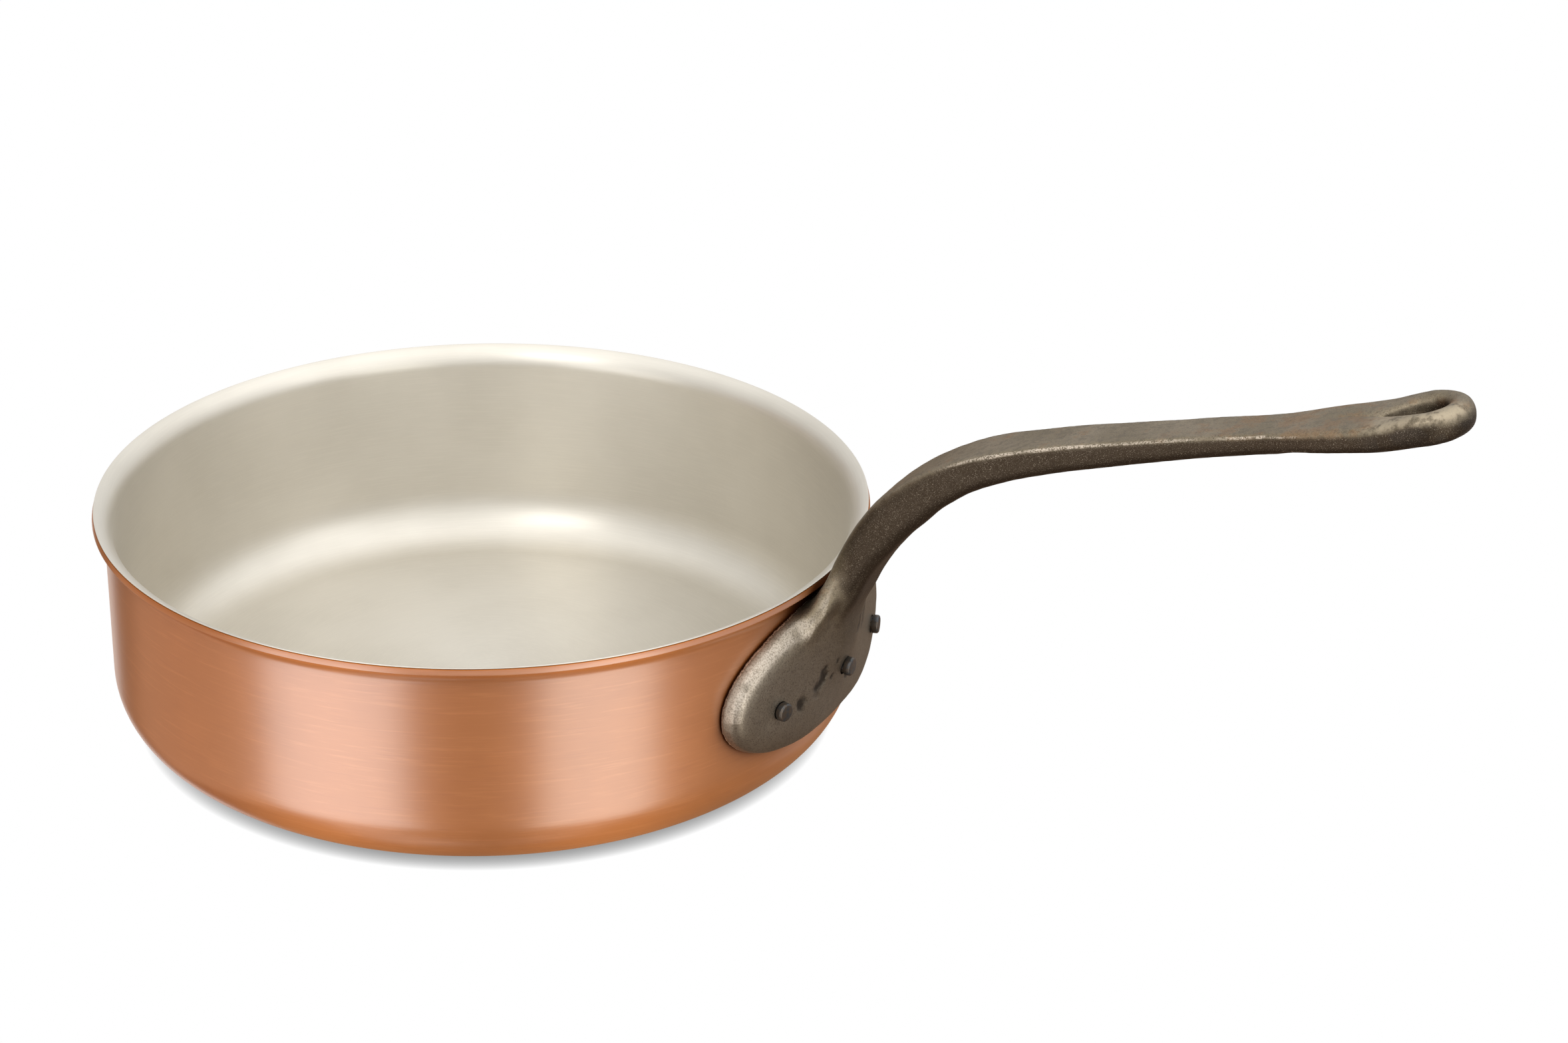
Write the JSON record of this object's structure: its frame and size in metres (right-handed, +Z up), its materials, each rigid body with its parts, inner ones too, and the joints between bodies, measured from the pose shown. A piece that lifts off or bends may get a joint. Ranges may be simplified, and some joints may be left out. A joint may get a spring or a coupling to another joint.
{
  "type": "saute pan",
  "caption": "Straight-sided copper saute pan with a flared lip, a thin steel lining and a long cast-iron handle riveted to the wall, ending in a hanging loop.",
  "frame": {"origin": "on the pan's axis at the underside of the flat base", "axes": "+Z up along the pan's axis, +X from the axis towards the handle, Y across the handle"},
  "size_m": [0.4481, 0.2526, 0.1711],
  "materials": {
    "copper": "satin brushed copper, brush lines round the wall",
    "lining_steel": "matte brushed stainless steel",
    "cast_iron": "raw casting with worn bright edges and small pits",
    "rivet_steel": "dull dark steel"
  },
  "bodies": {
    "root": {"copper_body": "copper", "steel_lining": "lining_steel", "handle": "cast_iron", "rivet_left": "rivet_steel", "rivet_middle": "rivet_steel", "rivet_right": "rivet_steel"}
  },
  "joints": []
}
